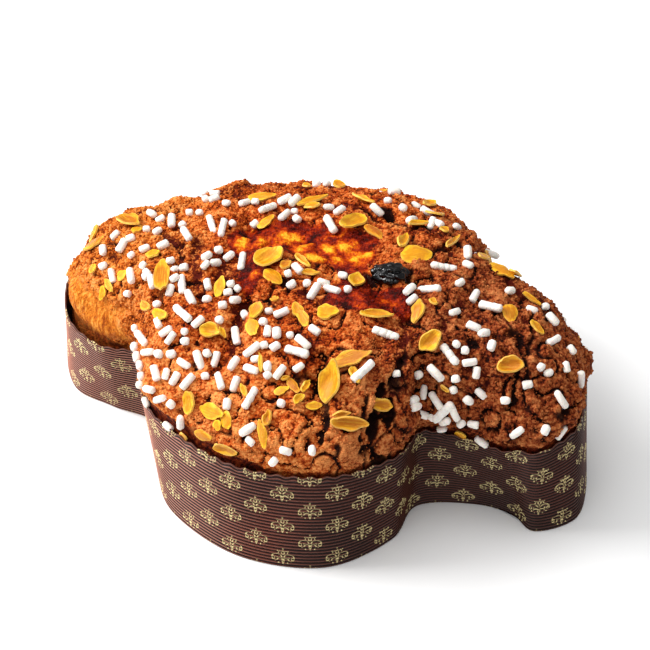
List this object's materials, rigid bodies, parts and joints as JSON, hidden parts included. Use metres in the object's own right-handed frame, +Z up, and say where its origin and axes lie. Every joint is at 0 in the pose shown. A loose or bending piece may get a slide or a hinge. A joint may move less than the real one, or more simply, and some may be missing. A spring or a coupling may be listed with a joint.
{
  "type": "dove-shaped sweet Easter bread",
  "caption": "Dove-shaped sweet Easter bread with pearl sugar, sliced almonds and a raisin, standing in its ribbed printed paper baking case.",
  "frame": {"origin": "centre of the paper case at the floor, midway along the length and the width", "axes": "+X from the head to the tail, +Y towards the wing that the picture hides, +Z up"},
  "size_m": [0.296, 0.2122, 0.1187],
  "materials": {
    "crust": "rough baked almond glaze, golden to red-brown, with white pearl sugar and golden almond flakes",
    "raisin": "wrinkled, near-black, moist and glossy",
    "paper": "finely ribbed dark brown baking paper with a pale gold line ornament"
  },
  "bodies": {
    "root": {"cake": "crust", "raisin": "raisin", "paper_wall": "paper", "paper_base": "paper"}
  },
  "joints": []
}
